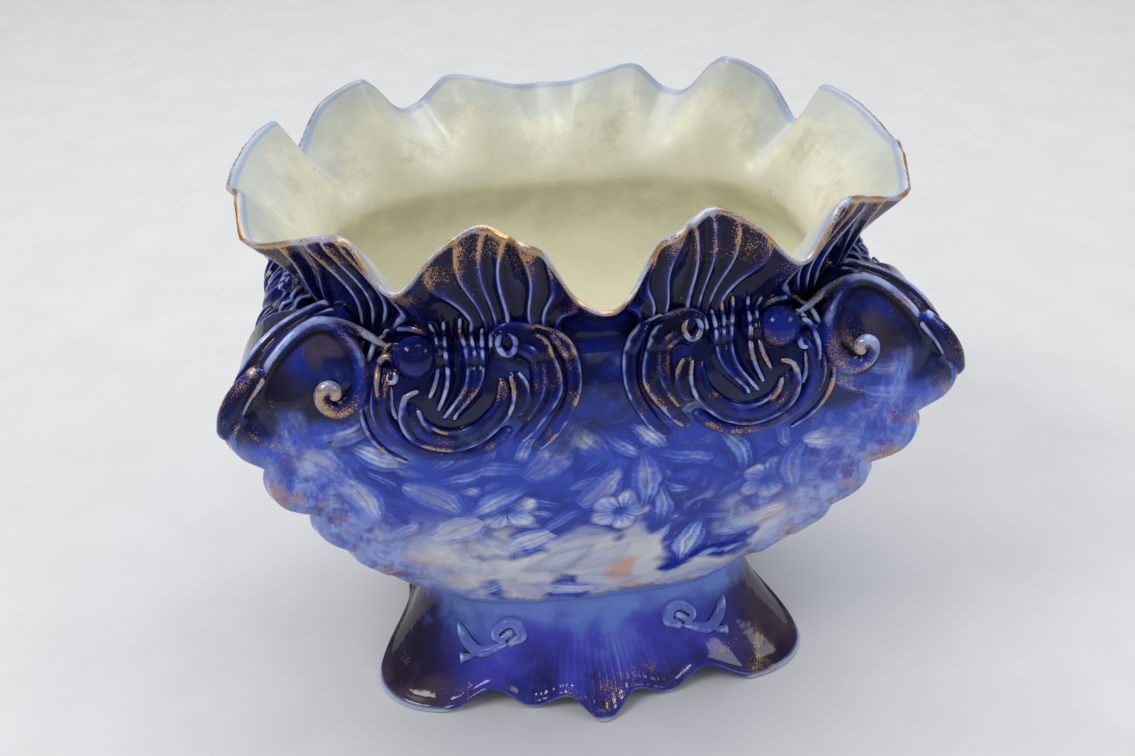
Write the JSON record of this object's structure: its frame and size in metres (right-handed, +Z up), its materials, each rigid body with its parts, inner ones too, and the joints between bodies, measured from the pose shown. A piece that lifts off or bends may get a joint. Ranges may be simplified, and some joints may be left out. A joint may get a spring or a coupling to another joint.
{
  "type": "jardiniere",
  "caption": "Oblong glazed earthenware jardiniere with a flaring ruffled rim, a swelling squared bowl, scrolled corner straps and a spreading winged foot.",
  "frame": {"origin": "middle of the base, on the floor it stands on", "axes": "+X along the length to the right, -Y to the front, +Z up"},
  "size_m": [0.2942, 0.228, 0.257],
  "materials": {
    "mid_blue_glaze": "glossy",
    "cobalt_glaze": "glossy",
    "lustre_glaze": "glossy lustre"
  },
  "bodies": {
    "root": {"bowl": "mid_blue_glaze", "ruffled_rim": "cobalt_glaze", "foot": "cobalt_glaze", "corner_scroll_front_left": "lustre_glaze", "corner_scroll_front_right": "lustre_glaze", "corner_scroll_back_left": "lustre_glaze", "corner_scroll_back_right": "lustre_glaze", "cartouche_front_left": "cobalt_glaze", "cartouche_front_right": "cobalt_glaze", "cartouche_back_left": "cobalt_glaze", "cartouche_back_right": "cobalt_glaze", "cartouche_left": "cobalt_glaze", "cartouche_right": "cobalt_glaze", "foot_sprig_front_left": "cobalt_glaze", "foot_sprig_front_right": "cobalt_glaze", "foot_sprig_back_left": "cobalt_glaze", "foot_sprig_back_right": "cobalt_glaze"}
  },
  "joints": []
}
